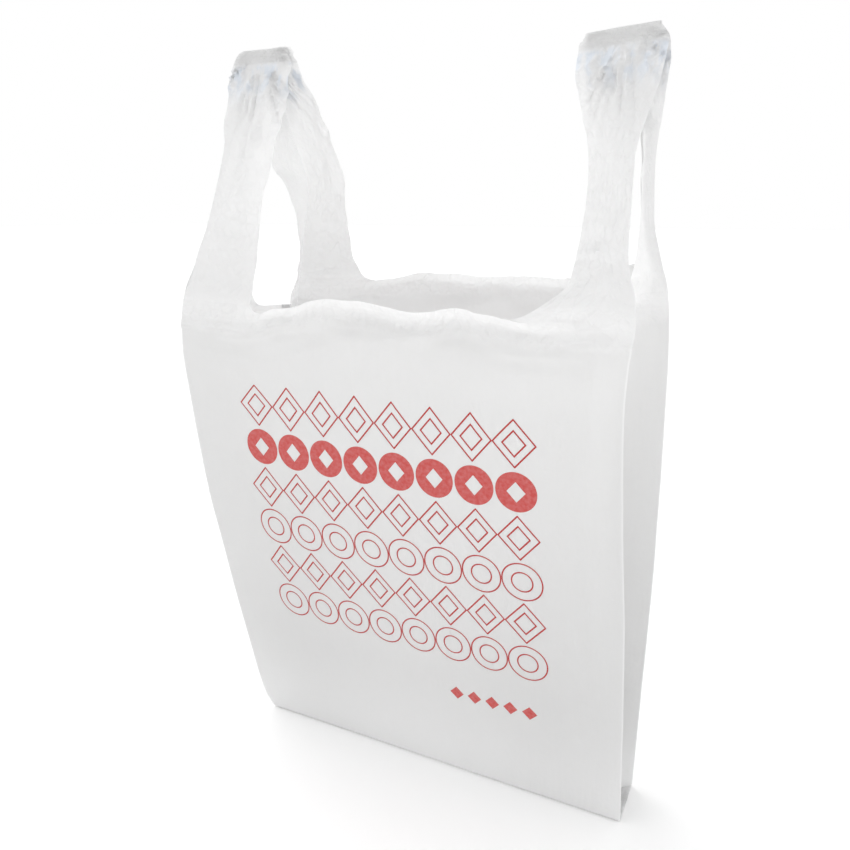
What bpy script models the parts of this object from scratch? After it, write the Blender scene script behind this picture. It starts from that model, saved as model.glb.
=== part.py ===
"""A vest carrier bag of thin white film, opened out and standing on its base with both handles up.

The real bag is one gusseted tube of film. A weld closes its bottom, one U is cut down through every layer
at the top, and a weld across each horn that is left makes a handle. So it is one piece, and one object here.
All lengths are in metres, +Z is up, the printed panel faces -Y, and the origin is under the bag's middle.
"""

import math

import bmesh
import bpy

# Film cut: what the bag measures laid flat.
PANEL_WIDTH = 0.292
GUSSET_DEPTH = 0.0825  # each side gusset is two halves of this width
HANDLE_WIDTH = 0.048  # each layer of a handle at its narrowest
CUT_RADIUS = 0.022  # rounding of the U cut's lower corners

# How it stands open.
BASE_HALF_DEPTH = 0.018
WALL_LEAN = math.radians(8.0)  # front and back lean outwards
MOUTH_HEIGHT = 0.322
TOP_HEIGHT = 0.470
MOUTH_CORNER_X = 0.1415  # the corner folds draw in a little towards the mouth
HANDLE_CORNER_X = 0.138
PANEL_BULGE = 0.004  # the panels belly out half way up

# The solid wall that stands for the film, and the spacing of the four layers in a handle's weld.
WALL = 0.0005
LAYER_GAP = 0.0012
WELD_HEIGHT = 0.008
BASE_MARGIN = 0.0005  # the base plate runs this far past the wall's middle

BODY_ROWS = 16
CORNER_ROWS = 5
STRAP_ROWS = 13
STRAP_COLUMNS = 6
CENTRE_COLUMNS = 5


def mix(a, b, share):
    return a + (b - a) * share


def corner_fold(z):
    """The front right corner fold at height z: one straight run up the wall, one back to the handle's weld."""
    if z <= MOUTH_HEIGHT:
        x = mix(PANEL_WIDTH / 2, MOUTH_CORNER_X, (z / MOUTH_HEIGHT) ** 2)
        return x, -BASE_HALF_DEPTH - z * math.tan(WALL_LEAN)
    rise = (z - MOUTH_HEIGHT) / (TOP_HEIGHT - MOUTH_HEIGHT)
    mouth_y = -BASE_HALF_DEPTH - MOUTH_HEIGHT * math.tan(WALL_LEAN)
    return mix(MOUTH_CORNER_X, HANDLE_CORNER_X, rise), mix(mouth_y, -LAYER_GAP, rise)


def cut_width(z):
    """How far from the corner fold the film still reaches at height z: the U cut's outline."""
    above = max(z - MOUTH_HEIGHT, 0.0)
    if above >= CUT_RADIUS:
        return HANDLE_WIDTH
    across = math.sqrt(CUT_RADIUS**2 - (CUT_RADIUS - above) ** 2)
    return HANDLE_WIDTH + CUT_RADIUS - across


def bulge(x, z):
    """How far the panel stands out of its plane: nothing at its edges, base and mouth, most in its middle."""
    if z >= MOUTH_HEIGHT:
        return 0.0
    side = 1 - (2 * x / PANEL_WIDTH) ** 2
    return PANEL_BULGE * max(side, 0.0) * math.sin(math.pi * z / MOUTH_HEIGHT)


def row(z, whole):
    """One row of the quarter bag, from the gusset round the corner fold and along the panel.

    A whole row ends at the gusset's inner fold and at the panel's middle. Above the mouth both ends are cut.
    """
    fold_x, fold_y = corner_fold(z)
    reach = cut_width(z)
    strip = GUSSET_DEPTH if whole else min(reach, GUSSET_DEPTH)
    turn = math.asin(min(-fold_y / GUSSET_DEPTH, 1.0)) if z < TOP_HEIGHT else 0.0
    points = []
    for i in range(STRAP_COLUMNS, -1, -1):
        d = strip * i / STRAP_COLUMNS
        y = fold_y + LAYER_GAP / 2 + d * (math.sin(turn) - LAYER_GAP / 2 / GUSSET_DEPTH)
        points.append((fold_x - d * math.cos(turn), y, z))
    if whole:
        points[0] = (points[0][0], 0.0, z)
    for i in range(STRAP_COLUMNS + 1):
        x = fold_x - reach * i / STRAP_COLUMNS
        points.append((x, fold_y - LAYER_GAP / 2 - bulge(x, z), z))
    if whole:
        inner = points[-1][0]
        for i in range(1, CENTRE_COLUMNS + 1):
            x = mix(inner, 0.0, i / CENTRE_COLUMNS)
            points.append((x, fold_y - LAYER_GAP / 2 - bulge(x, z), z))
    return points


def film_quarter():
    """The front right quarter as an open surface: whole rows up to the mouth, then the handle's narrowing rows."""
    heights = [mix(WALL / 2, MOUTH_HEIGHT, i / BODY_ROWS) for i in range(BODY_ROWS + 1)]
    for i in range(1, CORNER_ROWS + 1):
        heights.append(MOUTH_HEIGHT + CUT_RADIUS * (1 - math.cos(math.pi / 2 * i / CORNER_ROWS)))
    strap_top = TOP_HEIGHT - WELD_HEIGHT / 2
    heights += [mix(heights[-1], strap_top, i / STRAP_ROWS) for i in range(1, STRAP_ROWS + 1)]

    mesh = bmesh.new()
    below = None
    for number, z in enumerate(heights):
        verts = [mesh.verts.new(p) for p in row(z, whole=number <= BODY_ROWS)]
        if below:
            for i in range(min(len(below), len(verts)) - 1):
                mesh.faces.new((below[i + 1], below[i], verts[i], verts[i + 1]))
        below = verts
    data = bpy.data.meshes.new("film_quarter")
    mesh.to_mesh(data)
    mesh.free()
    return data


def mirrored_wall(material):
    """Both mirror planes join the quarter into the open bag, and Solidify gives the film its wall."""
    bag = bpy.data.objects.new("film_bag", film_quarter())
    bag.data.materials.append(material)
    mirror = bag.modifiers.new("both_sides", "MIRROR")
    mirror.use_axis = (True, True, False)
    mirror.use_clip = True
    mirror.merge_threshold = 0.0001
    solidify = bag.modifiers.new("film_wall", "SOLIDIFY")
    solidify.thickness = WALL
    solidify.offset = 0
    return bag


def block(name, centre, size, collection):
    """A box that a Boolean joins to the bag: the folded-out base, or a weld."""
    bpy.ops.mesh.primitive_cube_add(size=1, location=centre)
    made = bpy.context.object
    made.name = name
    made.scale = size
    bpy.ops.object.transform_apply(location=False, rotation=False, scale=True)
    for user in list(made.users_collection):
        user.objects.unlink(made)
    collection.objects.link(made)
    made.hide_render = True
    made.display_type = "WIRE"
    return made


def white_film():
    material = bpy.data.materials.new("white_film")
    material.use_nodes = True
    shader = material.node_tree.nodes["Principled BSDF"]
    shader.inputs["Base Color"].default_value = (0.86, 0.86, 0.85, 1)
    shader.inputs["Roughness"].default_value = 0.42
    shader.inputs["Metallic"].default_value = 0.0
    return material


def main():
    for old in list(bpy.data.objects):
        bpy.data.objects.remove(old)
    parts = bpy.data.collections.new("carrier_bag")
    joiners = bpy.data.collections.new("joined_blocks")
    for collection in (parts, joiners):
        bpy.context.scene.collection.children.link(collection)

    bag = mirrored_wall(white_film())
    parts.objects.link(bag)

    base_size = (PANEL_WIDTH + 2 * BASE_MARGIN, 2 * (BASE_HALF_DEPTH + LAYER_GAP / 2 + BASE_MARGIN), WALL)
    blocks = [block("folded_base", (0, 0, WALL / 2), base_size, joiners)]
    weld_size = (HANDLE_WIDTH + 0.002, 4 * LAYER_GAP, WELD_HEIGHT)
    for name, side in (("left_weld", -1), ("right_weld", 1)):
        centre = (side * (HANDLE_CORNER_X - HANDLE_WIDTH / 2), 0, TOP_HEIGHT - WELD_HEIGHT / 2)
        blocks.append(block(name, centre, weld_size, joiners))
    for piece in blocks:
        union = bag.modifiers.new(piece.name, "BOOLEAN")
        union.operation = "UNION"
        union.object = piece


main()
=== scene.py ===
# %% [markdown]
# # A vest carrier bag of thin white film
# The bag is one gusseted tube of blown film. A weld closes the bottom, one U is cut down through
# every layer at the top, and a short weld across each horn makes the handles. Here it stands
# opened out with both handles up. The solid model gives the size, and this script makes the film.

# %% Load the frame
import math

import bpy
import numpy as np
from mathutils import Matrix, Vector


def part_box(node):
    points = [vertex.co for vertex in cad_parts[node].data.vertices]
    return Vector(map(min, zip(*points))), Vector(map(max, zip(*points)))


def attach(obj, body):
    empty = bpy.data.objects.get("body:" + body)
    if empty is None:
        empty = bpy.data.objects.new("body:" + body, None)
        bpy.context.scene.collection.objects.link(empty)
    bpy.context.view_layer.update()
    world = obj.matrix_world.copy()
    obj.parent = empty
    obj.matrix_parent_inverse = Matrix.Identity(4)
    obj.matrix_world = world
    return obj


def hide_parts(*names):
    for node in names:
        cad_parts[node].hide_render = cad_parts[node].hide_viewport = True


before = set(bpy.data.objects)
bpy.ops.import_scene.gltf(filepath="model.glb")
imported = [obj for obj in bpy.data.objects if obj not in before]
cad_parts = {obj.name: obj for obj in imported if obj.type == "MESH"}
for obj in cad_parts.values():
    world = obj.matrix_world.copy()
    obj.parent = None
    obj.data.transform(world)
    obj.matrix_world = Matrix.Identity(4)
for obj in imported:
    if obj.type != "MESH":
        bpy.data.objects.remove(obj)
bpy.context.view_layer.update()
low, high = (np.array(corner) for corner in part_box("film_bag"))
print("solid model, mm:", np.round((high - low) * 1000, 1))

# %% [markdown]
# ## The cut of the film
# A maker thinks of the flat bag: how wide a panel is, how deep the gusset folds in from each
# side, and what width the U cut leaves to each handle. The mouth and the welds are taken from
# the solid model's height, so the film fits it.

# %% Sizes of the flat bag and its stance
PANEL_HALF = 0.146
GUSSET = 0.0825
HANDLE = 0.048
CUT_RADIUS = 0.019
BASE_HALF = 0.018
MOUTH = 0.685 * high[2]
WELD = high[2] - 0.004
TOP = high[2] + 0.004
FILM = 0.00016
LOWEST_ROW = 0.0008
FINE_ROWS = 0.235
GUSSET_SLACK = {-1: 0.42, 1: 0.22}
BELLY = 0.006
print("mouth at", round(MOUTH, 4), "m, handle welds at", round(WELD, 4), "m")

# %% [markdown]
# ## Curves along the height
# Four corner folds, the inner edge of each handle leg and the cut edge of each gusset strip are
# the lines that give an opened bag its shape. Each is a smooth curve through a few listed
# points. A monotone cubic is used, because it never swings past its points as a plain spline
# does beside a sharp bend.


# %% A smooth curve through listed points
def through(stations, heights):
    """x and y at each height, by a monotone cubic through (height, x, y) in millimetres."""
    rows = np.array(stations, float) / 1000
    h = rows[:, 0]
    heights = np.clip(heights, h[0], h[-1])
    i = np.clip(np.searchsorted(h, heights) - 1, 0, len(h) - 2)
    out = []
    for values in (rows[:, 1], rows[:, 2]):
        step = np.diff(h)
        slope = np.diff(values) / step
        tangent = np.zeros(len(h))
        tangent[0], tangent[-1] = slope[0], slope[-1]
        for k in range(1, len(h) - 1):
            if slope[k - 1] * slope[k] > 0:
                a, b = 2 * step[k] + step[k - 1], step[k] + 2 * step[k - 1]
                tangent[k] = (a + b) / (a / slope[k - 1] + b / slope[k])
        s = (heights - h[i]) / step[i]
        from_low = values[i] * (1 + 2 * s) + tangent[i] * step[i] * s
        from_high = values[i + 1] * (3 - 2 * s) - tangent[i + 1] * step[i] * (1 - s)
        out.append(from_low * (1 - s) ** 2 + from_high * s**2)
    return np.stack(out, -1)


def smooth(x, a, b):
    """0 below a, 1 above b, and a soft step between."""
    s = np.clip((x - a) / (b - a), 0, 1)
    return s * s * (3 - 2 * s)


# %% [markdown]
# Each leg of a handle is a panel strip and a gusset strip joined at the corner fold. In the
# table, "fold" is that line, "inner" ends the panel strip and "side" ends the gusset strip. Each
# entry is height, x, y in millimetres. Both rear legs have turned side-on, as loose film does, so
# one sees daylight between them and the front legs.

# %% The lines of the four legs
LEGS = {
    ("left", "front"): {
        "fold": [(0, -124, -17), (12, -130, -19), (60, -137, -26), (138, -144, -38),
                 (200, -149, -47), (270, -149, -57), (308, -146, -61), (324, -144, -60),
                 (345, -140, -54), (400, -138, -31), (440, -138, -14), (458, -139, -6),
                 (467, -139, -1.2), (474, -131, -0.5)],
        "inner": [(322, -92, -62), (332, -88.5, -59), (345, -88.5, -54), (358, -91, -48),
                  (380, -93, -40), (400, -91.5, -31), (430, -91, -17), (458, -92, -5),
                  (468, -95, -1.2), (474, -98, -0.5)],
        "side": [(322, -119, -14), (335, -121, -22), (345, -121, -26), (380, -116, -24),
                 (400, -112, -19), (440, -100, -8), (466, -95, -0.6), (474, -98, -0.2)],
    },
    ("right", "front"): {
        "fold": [(0, 146, -18), (67, 144.7, -27.4), (140, 142, -37.6), (210, 138.3, -47.5),
                 (274, 136.3, -56), (300, 138, -60), (322, 140.5, -59), (334, 138.5, -55),
                 (344, 134.5, -51), (354, 131.5, -48), (370, 129.3, -41), (386, 128, -34),
                 (402, 127.4, -28), (425, 131, -19), (445, 135, -11), (458, 136, -6),
                 (466, 135.5, -1.8), (473, 131, -0.5)],
        "inner": [(322, 96, -62), (331, 103, -58), (345, 106, -53), (375, 107, -42),
                  (400, 105, -30), (425, 99, -19), (440, 94, -13), (450, 91, -10),
                  (460, 89.6, -5), (468, 89.5, -1.6), (473, 92.5, -0.5)],
        "side": [(322, 116, -18), (345, 119, -16), (400, 110, -10), (440, 99, -6), (460, 92, -2),
                 (473, 93.5, -0.2)],
    },
    ("left", "back"): {
        "fold": [(0, -138, 18), (110, -145, 32), (220, -147, 50), (304, -142, 61),
                 (345, -128, 51), (400, -107, 28), (440, -112, 12), (466, -138, 1.2),
                 (474, -130, 0.5)],
        "inner": [(322, -94, 61), (332, -86, 58), (345, -87, 53), (375, -85, 41), (400, -79, 30),
                  (430, -82, 16), (466, -92, 1.2), (474, -95, 0.5)],
        "side": [(322, -111, 4), (328, -99, -4), (337, -91, -9), (351, -88, -10),
                 (360, -88.5, -10), (375, -91.5, -10), (392, -97.5, -10), (404, -106, -10),
                 (424, -106, -8), (440, -99, -4), (466, -95, 0.6), (474, -97, 0.2)],
    },
    ("right", "back"): {
        "fold": [(0, 146, 18), (126, 146, 32), (190, 144, 44), (250, 141.5, 54), (300, 139, 60),
                 (330, 136, 57), (345, 132.5, 52), (372, 129, 40), (400, 129, 28), (425, 131, 19),
                 (445, 134, 11), (458, 136, 6), (466, 135.5, 1.8), (473, 131, 0.5)],
        "inner": [(322, 94, 61), (330, 104, 57), (338, 116, 50), (345, 122, 38), (355, 127, 20),
                  (372, 128.5, 4), (400, 128, -6), (415, 126, -6), (430, 112, 2), (445, 97, 8),
                  (460, 91, 5), (468, 90, 1.6), (473, 92.5, 0.5)],
        "side": [(322, 115, 18), (332, 122, 6), (341, 125.5, -2), (355, 128.5, -5),
                 (372, 130, -8), (400, 129.6, -13), (415, 128.5, -14), (430, 116, -6),
                 (445, 100, 2), (460, 93, 2), (473, 93.5, 0.2)],
    },
}
SIGN_X = {"left": -1, "right": 1}
SIGN_Y = {"front": -1, "back": 1}

# %% [markdown]
# ## The U cut
# One die cuts all the layers at once, so the same outline trims panels and gussets. What matters
# is how far from the corner fold the film still reaches at each height: wide at the mouth, then
# falling round the die's corner to the handle's width.


# %% Reach of the film, and the rows and columns of the sheet
def reach(height):
    """How far from its corner fold the film goes on, at a height."""
    above = np.clip(height - MOUTH, 0, CUT_RADIUS)
    return HANDLE + CUT_RADIUS - np.sqrt(CUT_RADIUS**2 - (CUT_RADIUS - above) ** 2)


STRIP = np.linspace(0, 1, 29)
CENTRE = np.linspace(0, 1, 31)
LOWER_ROWS = np.linspace(LOWEST_ROW, FINE_ROWS, 48)[:-1]
BODY = np.concatenate([LOWER_ROWS, np.linspace(FINE_ROWS, MOUTH, 42)])
CORNER = MOUTH + CUT_RADIUS * (1 - np.cos(np.linspace(0, math.pi / 2, 20)))[1:]
STRAP = np.concatenate([np.linspace(CORNER[-1], WELD, 66)[1:], np.linspace(WELD, TOP, 6)[1:]])
HEIGHTS = np.concatenate([BODY, CORNER, STRAP])
MOUTH_ROW = len(BODY) - 1
print(len(HEIGHTS), "rows,", MOUTH_ROW + 1, "of them whole")

# %% [markdown]
# ## The gussets
# Below the mouth a gusset is a V that folds in between the panels. Just above the floor it can't
# open, because the bottom weld holds its two halves together, so there it turns in along a
# corner tuck first and then runs inwards as a double layer. At the mouth it is slack, so its fold
# stands further out than a taut V would.


# %% One half of a gusset at one height
def gusset_half(corner, d, height, sx, sy):
    """Points of the gusset half at distances d from its corner fold."""
    depth = abs(corner[1])
    slope = math.asin(min(depth / GUSSET, 1))
    slack = 1 - GUSSET_SLACK[sx] * smooth(height, MOUTH - 0.12, MOUTH)
    way = np.array([-sx * math.cos(slope) * slack, -sy * math.sin(slope)])
    straight = corner + d[:, None] * way
    share = 1 - smooth(height, 0.0, 0.045)
    diagonal = np.minimum(d / math.sqrt(2), depth - 0.0006)
    along = np.maximum(d / math.sqrt(2), d - (math.sqrt(2) - 1) * depth)
    tucked = np.stack([corner[0] - sx * along, corner[1] - sy * diagonal], -1)
    return tucked * share + straight * (1 - share)


def bulge(x, height):
    """How far a panel bellies out between its corner folds."""
    across = np.clip(1 - (x / PANEL_HALF) ** 2, 0, 1)
    return across * BELLY * math.sin(math.pi * min(height / MOUTH, 1.0))


def leg_row(side, face, n):
    """A leg's row of (point, flat place), from the gusset strip's end to the panel strip's."""
    sx, sy = SIGN_X[side], SIGN_Y[face]
    height, corner = HEIGHTS[n], FOLD[side, face][n]
    wide = float(reach(height))
    dg = dp = STRIP * wide
    if n <= MOUTH_ROW:
        dg = np.append(dg, [(wide + GUSSET) / 2, GUSSET])
    gusset = gusset_half(corner, dg, height, sx, sy)
    panel = corner + dp[:, None] * np.array([-sx, 0.0])
    if n > MOUTH_ROW:
        rise = smooth(height, MOUTH - 0.001, MOUTH + 0.020)
        gusset = gusset * (1 - rise) + (corner + SIDE[side, face][n] * dg[:, None]) * rise
        panel = panel * (1 - rise) + (corner + INNER[side, face][n] * dp[:, None]) * rise
    out = sy * bulge(panel[:, 0], height) if n <= MOUTH_ROW else 0 * dp
    flat_y = height + 2 * (face == "back")
    line = [((px, py, height), (sx * (PANEL_HALF + d), flat_y))
            for (px, py), d in zip(gusset[:0:-1], dg[:0:-1])]
    line += [((px, py + belly, height), (sx * (PANEL_HALF - d), flat_y))
             for (px, py), d, belly in zip(panel, dp, out)]
    return line


FOLD = {key: through(leg["fold"], HEIGHTS) for key, leg in LEGS.items()}
INNER = {key: (through(leg["inner"], HEIGHTS) - FOLD[key]) / HANDLE for key, leg in LEGS.items()}
SIDE = {key: (through(leg["side"], HEIGHTS) - FOLD[key]) / HANDLE for key, leg in LEGS.items()}

# %% [markdown]
# ## Joining the rows into one sheet
# Up to the mouth a row runs right round the tube; above it each leg is a strip of its own. The
# points on the corner folds and on the gussets' inner folds are shared, so the tube has no open
# seam. Each point also keeps its place on the flat film, because print and creases follow the
# film and not the space around it. The back panel's places are 2 m higher, to tell them apart.

# %% The sheet's points and faces
points, flats, quads = [], [], []


def add(point, flat):
    """Adds a point with its flat place, and gives its number."""
    points.append(tuple(point))
    flats.append(tuple(flat))
    return len(points) - 1


def bridge(lower, upper, flip):
    """Quads between two rows of points, facing outwards."""
    for i in range(len(lower) - 1):
        quad = (lower[i], lower[i + 1], upper[i + 1], upper[i])
        quads.append(quad[::-1] if flip else quad)


def panel_middle(face, left, right, height):
    """The row's points between the two legs' strips, with the panel's belly."""
    a, b = np.array(points[left]), np.array(points[right])
    row = [left]
    for s in CENTRE[1:-1]:
        p = a * (1 - s) + b * s
        level = bulge(a[0], height) * (1 - s) + bulge(b[0], height) * s
        p[1] += SIGN_Y[face] * (bulge(p[0], height) - level)
        row.append(add(p, (flats[left][0] * (1 - s) + flats[right][0] * s, flats[left][1])))
    return row + [right]


first_row, below = {}, {}
for n, height in enumerate(HEIGHTS):
    row, inner_fold = {}, {}
    for side, face in LEGS:
        line = leg_row(side, face, n)
        if n <= MOUTH_ROW:
            (x, _, z), flat = line[0]
            if side not in inner_fold:
                inner_fold[side] = add((x, 0.0, z), flat)
            row[side, face] = [inner_fold[side]] + [add(*item) for item in line[1:]]
        else:
            row[side, face] = [add(*item) for item in line]
        if below:
            lower = below[side, face][-len(row[side, face]):]
            bridge(lower, row[side, face], (side == "left") != (face == "front"))
    if n <= MOUTH_ROW:
        for face in SIGN_Y:
            ends = row["left", face][-1], row["right", face][-1]
            row["middle", face] = panel_middle(face, *ends, height)
            if below:
                bridge(below["middle", face], row["middle", face], face == "back")
    first_row = first_row or row
    below = row
print(len(points), "points,", len(quads), "quads")

# %% [markdown]
# ## Creases in the sheet
# Thin film doesn't stretch, so wherever it has length to spare it buckles into ridges with flat
# facets between them. The large ones are moved here, point by point, because layers that lie on
# each other have to move together. Value noise on a coarse lattice gives a smooth random height,
# and folding it with abs gives a crest.


# %% Noise on the flat film
def noise(x, y, seed):
    """Smooth value noise between -1 and 1 on unit cells, the same each run."""
    lattice = np.random.default_rng(seed).uniform(-1, 1, (64, 64))
    x0, y0 = np.floor(x).astype(int), np.floor(y).astype(int)
    fx, fy = x - x0, y - y0
    fx, fy = fx * fx * (3 - 2 * fx), fy * fy * (3 - 2 * fy)
    near = lattice[x0 % 64, y0 % 64] * (1 - fx) + lattice[(x0 + 1) % 64, y0 % 64] * fx
    far = lattice[x0 % 64, (y0 + 1) % 64] * (1 - fx) + lattice[(x0 + 1) % 64, (y0 + 1) % 64] * fx
    return near * (1 - fy) + far * fy


def crest(x, y, seed):
    """Sharp crests between soft hollows, from 0 to 1."""
    return 1 - np.abs(noise(x, y, seed))


# %% [markdown]
# The handles hang from their welds, so their folds run up and down and fan out towards the
# mouth, with pleats running out from the middle of each weld. Round the mouth the film is slack
# and buckles crossways, and its lip lies unevenly and turns a little outwards. Below a soft cross
# crease, where the bag was folded for packing, the body is almost smooth.

# %% Zones of the sheet
place, flat = np.array(points), np.array(flats)
u, t = flat[:, 0], flat[:, 1] % 2
x, z = place[:, 0].copy(), place[:, 2].copy()
facing = np.where(flat[:, 1] >= 2, 1.0, -1.0)
panel = np.abs(u) <= PANEL_HALF
from_fold = np.abs(np.abs(u) - PANEL_HALF)
side_sign = np.sign(u)
strap = smooth(z, MOUTH, MOUTH + 0.05)
weld = smooth(z, WELD - 0.022, WELD - 0.004)
pull = smooth(z, MOUTH + 0.02, WELD - 0.02)
slack = smooth(z, MOUTH - 0.035, MOUTH - 0.005) * (1 - smooth(z, MOUTH + 0.03, MOUTH + 0.10))
body = smooth(z, 0.02, 0.10) * (1 - smooth(z, MOUTH - 0.02, MOUTH))
print("points on panels:", int(panel.sum()), "of", len(panel))

# %% [markdown]
# Both strips of a leg share the folds of the handle, so they keep their distance from each
# other: long waves, ridges that close up towards the weld, a crushed zone just below it, and
# pleats that run out from the weld's middle.

# %% Folds that the strips of a handle share
LONG_WAVE, RIDGE, CRUSH, WELD_DENT, SWAY = 0.0030, 0.0020, 0.0022, 0.0008, 0.0014
PLEAT = 0.0038
PLEAT_CENTRES = {-1: -0.117, 1: 0.114}
shared = LONG_WAVE * noise(x * 42, z * 6, 3) * strap * (1 - weld)
shared += RIDGE * (crest(x * (75 + 60 * pull), z * 9, 4) - 0.5) * pull * (1 - weld)
crushed = smooth(z, WELD - 0.045, WELD - 0.02) * (1 - weld)
shared += CRUSH * noise(x * 55, z * 70, 13) * crushed
shared += WELD_DENT * noise(x * 90, z * 60, 14) * weld
for sign, centre in PLEAT_CENTRES.items():
    down = WELD + 0.006 - z
    away, angle = np.hypot(x - centre, down), np.arctan2(x - centre, down)
    pleats = crest(angle * 7 + 20, away * 9, 21 + sign) - 0.6
    reach_out = smooth(away, 0.006, 0.02) * (1 - smooth(away, 0.035, 0.085))
    shared += (side_sign == sign) * PLEAT * pleats * reach_out
place[:, 1] += shared
place[:, 0] += SWAY * noise(z * 16, facing * 3.1 + side_sign, 5) * strap * (1 - weld)
print("shared folds up to", round(float(np.abs(shared).max()) * 1000, 1), "mm")

# %% [markdown]
# Each layer has small creases of its own. They die out at its folds and cut edges, which stay
# taut, and where the layers close on each other. Beside the front folds a narrow facet turns
# back, on the right of the body and on the left handle.

# %% Creases of each layer
CREASE, CREASE_RIPPLE, FINE_RIDGE, BODY_WAVE, PACKING_RIDGE = 0.0042, 0.0016, 0.0016, 0.0012, 0.0012
FACET_WIDTH, FACET_TURN = 0.017, 0.42
to_cut = np.where(z > MOUTH, reach(z) - from_fold, np.maximum(MOUTH - z, reach(z) - from_fold))
taut = smooth(from_fold, 0.0, 0.022) * (0.25 + 0.75 * smooth(to_cut, 0.0, 0.014))
room = np.clip(np.abs(place[:, 1]) / 0.03, 0, 1)
own = CREASE * (crest(u * 22 + 9, t * 80, 6) - 0.6) * slack
own += CREASE_RIPPLE * noise(u * 60, t * 170, 7) * slack
own += FINE_RIDGE * (crest(u * 150, t * 14, 8) - 0.5) * pull * room
own *= taut
own += BODY_WAVE * noise(u * 9, t * 7, 9) * body * panel
facet = np.clip(FACET_WIDTH - from_fold, 0, None) * FACET_TURN * (facing < 0)
on_body = smooth(z, 0.03, 0.18) * (1 - smooth(z, MOUTH - 0.04, MOUTH + 0.01))
on_handle = strap * (1 - smooth(z, WELD - 0.06, WELD - 0.02))
own -= facet * np.where(u > 0, on_body, on_handle)
# The packing fold left a soft ridge across each panel, a little below the mouth.
off_ridge = np.abs(z - (MOUTH - 0.012) - 0.002 * noise(u * 20, facing, 15))
own += PACKING_RIDGE * (1 - np.clip(off_ridge / 0.004, 0, 1)) * panel
place[:, 1] += facing * own
print("own creases up to", round(float(np.abs(own).max()) * 1000, 1), "mm")

# %% [markdown]
# The lip is uneven and turns outwards. Each panel's lip has its own line, given as x and rise in
# millimetres, with a 0 to fill the curve's third place. The gussets' slack edges sag between the
# panels, and the right handle's weld sits a little lower and slopes.

# %% The lip, the gussets' edges and the right weld
LIP_WAVE, LIP_RIPPLE, LIP_SWAY, LIP_CURL = 0.0012, 0.0008, 0.003, 0.0042
SAG = {-1: 0.009, 1: 0.003}
WELD_DROP, WELD_SLOPE, WELD_MIDDLE = -0.0075, 0.07, 0.112
LIPS = {
    -1: [(-146, -6, 0), (-120, -8, 0), (-92, -8, 0), (-76, -5, 0), (-52, 0, 0), (-29, 6.5, 0),
         (0, 4, 0), (30, 2, 0), (52, 4, 0), (72, 0, 0), (88, -1, 0), (120, 0, 0), (146, 0, 0)],
    1: [(-146, 0, 0), (-110, 1, 0), (-84, 5, 0), (-50, 9, 0), (-32, 12, 0), (0, 10, 0),
        (70, 11, 0), (100, 8, 0), (146, 0, 0)],
}
near_mouth = smooth(z, MOUTH - 0.07, MOUTH) * (1 - smooth(z, MOUTH, MOUTH + 0.035))
lip = near_mouth * panel
for sign, stations in LIPS.items():
    place[:, 2] += lip * (facing == sign) * through(stations, u)[:, 0]
near_lip = lip * smooth(PANEL_HALF - np.abs(u), 0.03, 0.07)
sag = near_mouth * ~panel * smooth(from_fold, 0.032, 0.066)
place[:, 2] -= sag * np.where(side_sign < 0, SAG[-1], SAG[1])
place[:, 2] += near_lip * LIP_WAVE * noise(u * 40 + 3, facing, 10)
place[:, 2] += near_lip * LIP_RIPPLE * noise(u * 110, facing, 11)
place[:, 1] += facing * near_lip * LIP_SWAY * noise(u * 20, facing * 2, 12)
place[:, 1] += facing * LIP_CURL * smooth(z, MOUTH - 0.008, MOUTH) ** 2 * near_lip
top_zone = smooth(z, MOUTH + 0.06, TOP)
lowered = WELD_DROP + WELD_SLOPE * (x - WELD_MIDDLE)
place[:, 2] += top_zone * np.where(side_sign > 0, lowered, 0.0)
furthest = float(np.abs(place - np.array(points)).max())
print("folds move points up to", round(furthest * 1000, 1), "mm")

# %% [markdown]
# ## The opened base
# At the floor the panels turn under and meet at the bottom weld. Two strips continue the sheet's
# lowest row, front and back, and the weld's fin is a narrow flap that lies against the base.

# %% Base strips and fin
points, flats = [tuple(p) for p in place], [tuple(f) for f in flat]
BASE_STEPS = 6
FIN_STEPS = 2
BASE_LEVEL = 0.0006
FIN_LEVEL = 0.0003
for face in SIGN_Y:
    edge = first_row["left", face][len(STRIP) + 1:] + first_row["middle", face][1:-1]
    edge += first_row["right", face][len(STRIP) + 1:][::-1]
    previous = edge
    for step in range(1, BASE_STEPS + (FIN_STEPS if face == "front" else 0) + 1):
        share = step / BASE_STEPS
        level = BASE_LEVEL if share <= 1 else FIN_LEVEL
        new = []
        for i in edge:
            (px, py, _), (across, along) = points[i], flats[i]
            new.append(add((px, py * (1 - share), level), (across, along - BASE_HALF * share)))
        bridge(new, previous, face == "back")
        previous = new
print("with the base:", len(points), "points")


# %% A mesh that keeps the flat places
def sheet_object(name, mesh_points, faces, flat_places):
    """The sheet as an object, with the flat places as its UV map."""
    data = bpy.data.meshes.new(name)
    data.from_pydata(mesh_points, [], faces)
    layer = data.uv_layers.new(name="flat_film")
    corners = np.zeros(len(data.loops), np.int32)
    data.loops.foreach_get("vertex_index", corners)
    layer.data.foreach_set("uv", np.array(flat_places, np.float32)[corners].ravel())
    data.shade_smooth()
    made = bpy.data.objects.new(name, data)
    bpy.context.scene.collection.objects.link(made)
    return made


film = sheet_object("bag_film", points, quads, flats)

# %% [markdown]
# Two attributes say how much the film may crumple at each point: round the mouth and on the
# handles, where it is loose, but not at a fold or where layers lie close, and a faint ripple on
# the panels. A third carries the flat place into the node tree.

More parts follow.
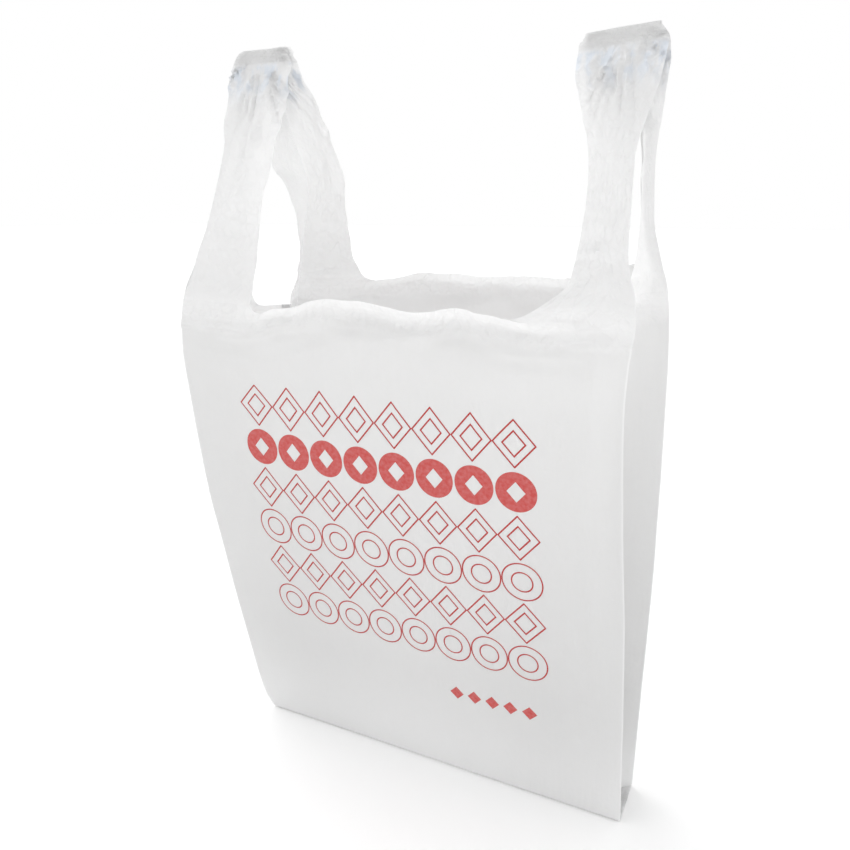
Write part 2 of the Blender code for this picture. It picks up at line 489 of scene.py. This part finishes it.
# %% Attributes for the crumples
place, flat = np.array(points), np.array(flats)
z, u = place[:, 2], flat[:, 0]
loose = smooth(z, MOUTH - 0.05, MOUTH - 0.005) * (1 - smooth(z, WELD - 0.012, WELD - 0.002))
edge_gap = np.abs(np.abs(u) - PANEL_HALF)
apart = np.clip(np.abs(place[:, 1]) / 0.012, 0.06, 1) * (0.1 + 0.9 * smooth(edge_gap, 0, 0.018))
below_mouth = smooth(z, 0.02, 0.08) * (1 - smooth(z, MOUTH - 0.04, MOUTH))
attributes = {"crumple": loose * apart, "ripple": below_mouth * (np.abs(u) <= PANEL_HALF)}
for name, values in attributes.items():
    stored = film.data.attributes.new(name, "FLOAT", "POINT")
    stored.data.foreach_set("value", values.astype(np.float32))
spots = film.data.attributes.new("flat_place", "FLOAT_VECTOR", "POINT")
spots.data.foreach_set("vector", np.column_stack([flat, 0 * z]).astype(np.float32).ravel())
print("film sheet:", len(film.data.polygons), "faces")

# %% [markdown]
# ## Small crumples with Geometry Nodes
# The small facets follow one rule all over the film, so a node tree makes them: Voronoi cells on
# the flat place push the sheet along its own normal, as far as the crumple attribute allows.
# Sizes are named inputs of the tree, and the seed is fixed. A modifier keeps its own value of
# each input under the input's identifier, which isn't its name, so they are set through that.
# The class lets sums on sockets be written as Python expressions, here and in the film's shader.


# %% A small helper for node trees
class Link:
    """A socket that adds Math nodes when it is used in a sum or a product."""

    def __init__(self, tree, socket):
        self.tree, self.socket = tree, socket

    def maths(self, operation, *values):
        made = self.tree.nodes.new("ShaderNodeMath")
        made.operation = operation
        for slot, value in zip(made.inputs, (self, *values)):
            join(self.tree, value, slot)
        return Link(self.tree, made.outputs[0])

    def __add__(self, other):
        return self.maths("ADD", other)

    __radd__ = __add__

    def __mul__(self, other):
        return self.maths("MULTIPLY", other)

    __rmul__ = __mul__

    def __sub__(self, other):
        return self.maths("SUBTRACT", other)

    def __rsub__(self, other):
        return (self * -1.0) + other

    def __truediv__(self, other):
        return self.maths("DIVIDE", other)

    def __abs__(self):
        return self.maths("ABSOLUTE")

    def below(self, edge):
        return self.maths("LESS_THAN", edge)

    def above(self, edge):
        return self.maths("GREATER_THAN", edge)

    def larger(self, other):
        return self.maths("MAXIMUM", other)

    def smaller(self, other):
        return self.maths("MINIMUM", other)

    def whole(self):
        return self.maths("FLOOR")

    def part(self):
        return self.maths("FRACT")

    def power(self, other):
        return self.maths("POWER", other)


def join(tree, value, slot):
    """Puts a link or a plain value into a socket."""
    if isinstance(value, Link):
        tree.links.new(value.socket, slot)
    else:
        slot.default_value = value


def node(tree, kind, settings=None, output=0, **inputs):
    """Any other node: its settings, then its sockets by name (spaces as _) or by number (_0)."""
    made = tree.nodes.new(kind)
    for name, value in (settings or {}).items():
        setattr(made, name, value)
    for name, value in inputs.items():
        slot = made.inputs[int(name[1:]) if name[0] == "_" else name.replace("_", " ")]
        join(tree, value, slot)
    return Link(tree, made.outputs[output])


# %% The crumple tree
CRUMPLES = {
    "Facet height": 0.0021,
    "Facets per metre": 95.0,
    "Ripple height": 0.0009,
    "Ripples per metre": 30.0,
    "Seed": 4.0,
}


def crumple_tree(finish):
    """The node tree that crumples the film and gives it its material."""
    tree = bpy.data.node_groups.new("crumpled_film", "GeometryNodeTree")
    face = tree.interface
    face.new_socket("Geometry", in_out="INPUT", socket_type="NodeSocketGeometry")
    for name in CRUMPLES:
        face.new_socket(name, in_out="INPUT", socket_type="NodeSocketFloat")
    face.new_socket("Geometry", in_out="OUTPUT", socket_type="NodeSocketGeometry")
    inputs = tree.nodes.new("NodeGroupInput")
    given = {s.name: Link(tree, s) for s in inputs.outputs if s.name}

    def stored(name, kind="FLOAT"):
        return node(tree, "GeometryNodeInputNamedAttribute", {"data_type": kind}, _0=name)

    spot = stored("flat_place", "FLOAT_VECTOR")
    seed = given["Seed"]
    drift = node(tree, "ShaderNodeTexNoise", {"noise_dimensions": "4D"}, 1, Vector=spot, W=seed,
                 Scale=35.0, Detail=1.0)
    bent = node(tree, "ShaderNodeVectorMath", {"operation": "MULTIPLY_ADD"}, 0, _0=drift,
                _1=(0.02, 0.02, 0.0), _2=spot)
    cells = node(tree, "ShaderNodeTexVoronoi",
                 {"voronoi_dimensions": "4D", "feature": "SMOOTH_F1"}, 0, Vector=bent, W=seed,
                 Scale=given["Facets per metre"], Smoothness=0.25)
    waves = node(tree, "ShaderNodeTexNoise", {"noise_dimensions": "4D"}, 0, Vector=spot, W=seed,
                 Scale=given["Ripples per metre"], Detail=2.0)
    height = (cells - 0.4) * given["Facet height"] * stored("crumple")
    height = height + (waves - 0.5) * given["Ripple height"] * stored("ripple")
    normal = Link(tree, tree.nodes.new("GeometryNodeInputNormal").outputs[0])
    push = node(tree, "ShaderNodeVectorMath", {"operation": "SCALE"}, 0, _0=normal, Scale=height)
    moved = node(tree, "GeometryNodeSetPosition", Geometry=given["Geometry"], Offset=push)
    real = node(tree, "GeometryNodeRealizeInstances", Geometry=moved)
    done = node(tree, "GeometryNodeSetMaterial", Geometry=real, Material=finish)
    join(tree, done, tree.nodes.new("NodeGroupOutput").inputs[0])
    return tree


# %% [markdown]
# ## The film's finish
# The film is milky: most light is scattered, about as much goes through as comes back, and the
# surface has a soft sheen. So a Principled shader is mixed with a Translucent one. The print is
# thin red ink on the front, and ink lets no light through. Its design is a lattice of rings and
# diamonds with one solid row, drawn from distances on the flat film, so it bends with every
# crease.

# %% The printed design
CELL_X, CELL_Y = 0.0255, 0.0290
ROWS, COLUMNS = 6, 8
PRINT_LOW = 0.096
SLANT = -0.018
SOLID_ROW = 4.0
LINE = 0.00042
RINGS = (0.0123, 0.0064)
DIAMONDS = (0.0089, 0.0048)
DIAMOND_SHARE = 0.72
DISC, DISC_HOLE = 0.0122, 0.0040
TRAIL_LEFT, TRAIL_UP, TRAIL_STEP = 0.030, 0.071, 0.013
TRAIL_COUNT, TRAIL_SIZE = 5, 0.0050


def flat_place(tree):
    """The place on the flat film, across and up, in metres, and both as one vector."""
    spot = node(tree, "ShaderNodeUVMap", {"uv_map": "flat_film"})
    across = node(tree, "ShaderNodeSeparateXYZ", Vector=spot)
    up = node(tree, "ShaderNodeSeparateXYZ", None, 1, Vector=spot)
    return across, up, spot


def print_masks(tree):
    """Masks of the outlines and of the solid shapes."""
    across, up, _ = flat_place(tree)
    up = up - across * SLANT
    column = across / CELL_X + COLUMNS / 2
    line = (up - PRINT_LOW) / CELL_Y
    inside = column.above(0.0) * column.below(float(COLUMNS))
    inside = inside * line.above(0.0) * line.below(float(ROWS))
    x = (column.part() - 0.5) * CELL_X
    y = (line.part() - 0.5) * CELL_Y
    number = line.whole()
    even = (number / 2 - (number / 2).whole()).below(0.25)
    far = (x * x + y * y).power(0.5)
    corner = (abs(x) / CELL_X + abs(y) / CELL_Y) * CELL_X * DIAMOND_SHARE
    ring, inner_ring = (abs(far - size).below(LINE) for size in RINGS)
    diamond, inner_diamond = (abs(corner - size).below(LINE) for size in DIAMONDS)
    ring, diamond = ring.larger(inner_ring), diamond.larger(inner_diamond)
    outline = (ring * even).larger(diamond * (1 - even))
    solid_row = abs(number - SOLID_ROW).below(0.5)
    disc = far.below(DISC) - corner.below(DISC_HOLE)
    trail_x = (across - TRAIL_LEFT) / TRAIL_STEP
    trail_y = abs(up - TRAIL_UP)
    trail_cell = abs(trail_x.part() - 0.5) * TRAIL_STEP
    trail = (trail_cell + trail_y).below(TRAIL_SIZE)
    trail = trail * trail_x.above(0.0) * trail_x.below(float(TRAIL_COUNT))
    lines = outline * inside * (1 - solid_row)
    solid = (disc * inside * solid_row).larger(trail)
    return lines, solid


# %% [markdown]
# The film isn't the same all over. From a little below the mouth it is painted whiter, a painted
# highlight, and the handles above are painted lighter still, as light shining through them would
# make them. Its rolled lip and its fold lines get painted highlights, the lowest part is painted
# lighter against the shade near the floor, and close below the welds the gathered layers get
# painted bluish shade in patches. Each of these is a mask along or across the flat film.

# %% Small steps of the shader, and the zones of the film
def blend(tree, factor, first, second):
    """A mix of two colours."""
    settings = {"data_type": "RGBA"}
    return node(tree, "ShaderNodeMix", settings, 2, Factor=factor, _6=first, _7=second)


def step(tree, value, start, end):
    """0 at the start, 1 at the end, and a soft step between."""
    settings = {"interpolation_type": "SMOOTHSTEP"}
    return node(tree, "ShaderNodeMapRange", settings, 0, Value=value, From_Min=start, From_Max=end)


def mottle(tree, spot, scale, stretch=(1.0, 1.0, 1.0), detail=2.0):
    """Noise on the flat film, stretched along it or across."""
    placed = node(tree, "ShaderNodeMapping", Vector=spot, Scale=stretch)
    return node(tree, "ShaderNodeTexNoise", Vector=placed, Scale=scale, Detail=detail)


def film_zones(tree):
    """Masks of the zones by name."""
    across, up, spot = flat_place(tree)
    high = (up / 2).part() * 2
    patches = mottle(tree, spot, 150.0, (1.0, 0.5, 1.0), 4.0)
    lip_start = step(tree, high, MOUTH - 0.006, MOUTH - 0.002)
    gathered = step(tree, high, WELD - 0.030, WELD - 0.010) * step(tree, patches, 0.44, 0.62)
    # band, upper, rolled and crease carry painted highlights, hollow carries painted bluish shade,
    # and the lowest mask carries painted light near the floor; welded is the weld's own whiter
    # film.
    return {
        "band": step(tree, high, MOUTH - 0.016, MOUTH - 0.009),
        "upper": step(tree, high, MOUTH + 0.01, MOUTH + 0.06),
        "rolled": lip_start * (1 - step(tree, high, MOUTH + 0.002, MOUTH + 0.012)),
        "crease": 1 - step(tree, abs(abs(across) - PANEL_HALF), 0.0003, 0.0011),
        "hollow": gathered * (1 - step(tree, high, WELD - 0.004, WELD + 0.001)),
        "welded": step(tree, high, WELD - 0.001, WELD + 0.0005),
        "floor_painted_light": 1 - step(tree, high, 0.0, 0.09),
    }


# %% [markdown]
# The colour is built up in layers: a white that is a little cloudy, the painted highlights and
# painted shade over it, and the ink last. The relief for the bump is fine lines along the film,
# cells of crinkle that are strongest round the mouth, and a grain across the weld.

# %% The film material
INK = (0.40, 0.012, 0.012, 1)
INK_SOLID = (0.49, 0.055, 0.05, 1)
FILM_WHITE = (0.845, 0.845, 0.845, 1)
FILM_SHADE = (0.825, 0.825, 0.82, 1)
FILM_THROUGH = (0.93, 0.93, 0.93, 1)
FILM_BRIGHT = (0.94, 0.94, 0.94, 1)
FILM_LIT = (0.985, 0.985, 0.985, 1)
FILM_GATHER_SHADE = (0.67, 0.725, 0.80, 1)
THROUGH_SHARE = 0.56
RELIEF = 0.0009


def film_colour(tree, zone, cloud, streaks, lines, solid):
    """White film with painted highlights, a whiter weld, painted bluish shade in the gathers, and
    the ink over it.
    """
    spot = flat_place(tree)[2]
    white = blend(tree, cloud * 0.6 + streaks * 0.4, FILM_WHITE, FILM_SHADE)
    # Painted highlight on the band below the mouth, and painted light near the floor that lifts the
    # floor's shade.
    bright = (zone["band"] * 0.8).larger(zone["floor_painted_light"] * 0.8)
    white = blend(tree, bright, white, FILM_BRIGHT)
    # Painted light: the handles above the mouth are painted lighter, as if lit through.
    white = blend(tree, zone["upper"] * 0.8, white, FILM_LIT)
    # Painted highlights on the rolled lip and along the fold lines.
    white = blend(tree, zone["rolled"].larger(zone["crease"]) * 0.8, white, FILM_LIT)
    # Painted shade: bluish grey in the gathers below the welds.
    white = blend(tree, zone["hollow"] * 0.75, white, FILM_GATHER_SHADE)
    white = blend(tree, zone["welded"], white, FILM_BRIGHT)
    worn = 0.84 + mottle(tree, spot, 420.0) * 0.25
    return blend(tree, lines, blend(tree, solid * worn, white, INK_SOLID), INK)


def film_relief(tree, zone, streaks):
    """The bump of the film's fine lines, crinkles and weld grain."""
    spot = flat_place(tree)[2]
    crinkle = node(tree, "ShaderNodeTexVoronoi", {"feature": "DISTANCE_TO_EDGE"}, 0, Vector=spot,
                   Scale=170.0)
    relief = crinkle.smaller(0.22) * (0.4 + zone["band"] * 1.7)
    relief = relief + mottle(tree, spot, 900.0, (1.0, 0.25, 1.0)) * 0.12
    relief = relief + streaks * (0.6 + 0.6 * zone["upper"])
    relief = relief + mottle(tree, spot, 60.0, (1.0, 1.2, 1.0), 4.0) * 2.6 * zone["band"]
    relief = relief + mottle(tree, spot, 500.0, (1.0, 3.0, 1.0)) * zone["welded"]
    return node(tree, "ShaderNodeBump", Height=relief, Distance=RELIEF, Strength=0.60)


def film_finish():
    """Milky film with the print on it."""
    material = bpy.data.materials.new("white_film")
    material.use_nodes = True
    tree = material.node_tree
    shader = tree.nodes["Principled BSDF"]
    lines, solid = print_masks(tree)
    ink = lines.larger(solid)
    zone = film_zones(tree)
    spot = flat_place(tree)[2]
    cloud = mottle(tree, spot, 14.0, detail=3.0)
    streaks = mottle(tree, spot, 230.0, (1.0, 0.08, 1.0))
    colour = film_colour(tree, zone, cloud, streaks, lines, solid)
    join(tree, colour, shader.inputs["Base Color"])
    rough = 0.42 - zone["band"] * 0.12 - zone["rolled"] * 0.10 + cloud * 0.10 + ink * 0.10
    join(tree, rough, shader.inputs["Roughness"])
    bump = film_relief(tree, zone, streaks)
    join(tree, bump, shader.inputs["Normal"])
    # Less light goes through in the gathers and near the floor, so the painted shade and the
    # painted light there show.
    share = THROUGH_SHARE + zone["band"] * 0.04 - zone["hollow"] * 0.36
    share = (share - zone["floor_painted_light"] * 0.18) * (1 - ink)
    through_light = node(tree, "ShaderNodeBsdfTranslucent", Color=FILM_THROUGH, Normal=bump)
    surface = Link(tree, shader.outputs[0])
    mixed = node(tree, "ShaderNodeMixShader", _0=share, _1=surface, _2=through_light)
    join(tree, mixed, tree.nodes["Material Output"].inputs["Surface"])
    return material


finish = film_finish()
print("film material:", len(finish.node_tree.nodes), "nodes")

# %% The crumples on the film
crumples = film.modifiers.new("crumpled_film", "NODES")
crumples.node_group = crumple_tree(finish)
for item in crumples.node_group.interface.items_tree:
    if item.in_out == "INPUT" and item.name in CRUMPLES:
        crumples[item.identifier] = CRUMPLES[item.name]

# %% [markdown]
# The film gets its wall after the crumples, so both its faces follow them. Then the result is
# taken as a plain mesh, because the modifiers' work is done.

# %% The wall, and a plain mesh
wall = film.modifiers.new("film_wall", "SOLIDIFY")
wall.thickness = FILM
wall.offset = 0
SHARP_FOLD = math.radians(48)


def as_plain_mesh(obj):
    """Gives the object the mesh that its modifiers make, and removes them."""
    graph = bpy.context.evaluated_depsgraph_get()
    data = bpy.data.meshes.new_from_object(
        obj.evaluated_get(graph), preserve_all_data_layers=True, depsgraph=graph)
    obj.modifiers.clear()
    obj.data = data


as_plain_mesh(film)
film.data.set_sharp_from_angle(angle=SHARP_FOLD)
print("finished film:", len(film.data.polygons), "faces")

# %% [markdown]
# ## Floor, light and camera
# A pale floor and an even white surround give the bag its soft greys. A wide, soft sun from
# behind on the left shines through the film, a lamp at the front left shapes the creases, and
# two weak ones on the right lift the side, one of them low beside the corner.


# %% Floor and surround
def matt(name, colour):
    """A plain matt material."""
    material = bpy.data.materials.new(name)
    material.use_nodes = True
    shader = material.node_tree.nodes["Principled BSDF"]
    shader.inputs["Base Color"].default_value = colour
    shader.inputs["Roughness"].default_value = 0.9
    return material


FLOOR_SIZE, FLOOR_LEVEL = 30, -0.0002
bpy.ops.mesh.primitive_plane_add(size=FLOOR_SIZE, location=(0, 0, FLOOR_LEVEL))
floor = bpy.context.object
floor.name = "floor"
floor.data.materials.append(matt("pale_floor", (0.97, 0.97, 0.97, 1)))

world = bpy.data.worlds.new("studio")
bpy.context.scene.world = world
world.use_nodes = True
world.node_tree.nodes["Background"].inputs["Color"].default_value = (1, 1, 1, 1)
world.node_tree.nodes["Background"].inputs["Strength"].default_value = 1.0
bpy.context.scene.view_settings.view_transform = "Standard"
print("floor and surround made")


# %% Lamps
def lamp(name, kind, place, target, size, power):
    """A soft lamp turned to its target: size is a sun's angle or a disc's width."""
    data = bpy.data.lights.new(name, kind)
    data.energy = power
    if kind == "SUN":
        data.angle = size
    else:
        data.shape, data.size = "DISK", size
    made = bpy.data.objects.new(name, data)
    made.location = place
    way = np.array(target) - np.array(place)
    yaw, tilt = math.atan2(way[0], way[1]), math.atan2(-way[2], math.hypot(way[0], way[1]))
    made.rotation_euler = (math.pi / 2 - tilt, 0, -yaw)
    bpy.context.scene.collection.objects.link(made)


lamp("sky_patch", "SUN", (-1.0, 0.4, 1.9), (0, 0, 0.2), math.radians(50), 0.78)
lamp("key", "AREA", (-1.2, -1.2, 1.3), (0, 0, 0.25), 0.5, 2.0)
lamp("fill", "AREA", (1.5, 0.1, 0.35), (0, 0, 0.1), 0.9, 0.9)
lamp("low_fill", "AREA", (0.50, -0.52, 0.08), (0.13, 0, 0.03), 0.25, 0.22)
print("lamps:", len(bpy.data.lights))

# %% Camera
CAMERA_PLACE = (0.2123, -0.4368, 0.3765)
LOOK_DOWN, LOOK_ROUND = math.radians(15.65), math.radians(26.05)
camera_data = bpy.data.cameras.new("camera")
camera_data.sensor_width = 36
camera_data.lens = 32.68
camera = bpy.data.objects.new("camera", camera_data)
camera.location = CAMERA_PLACE
camera.rotation_euler = (math.pi / 2 - LOOK_DOWN, 0, LOOK_ROUND)
bpy.context.scene.collection.objects.link(camera)
bpy.context.scene.camera = camera
print("camera lens:", camera_data.lens, "mm")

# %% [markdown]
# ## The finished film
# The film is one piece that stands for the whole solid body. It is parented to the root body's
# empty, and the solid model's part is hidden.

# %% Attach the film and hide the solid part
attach(film, "root")
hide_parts("film_bag")
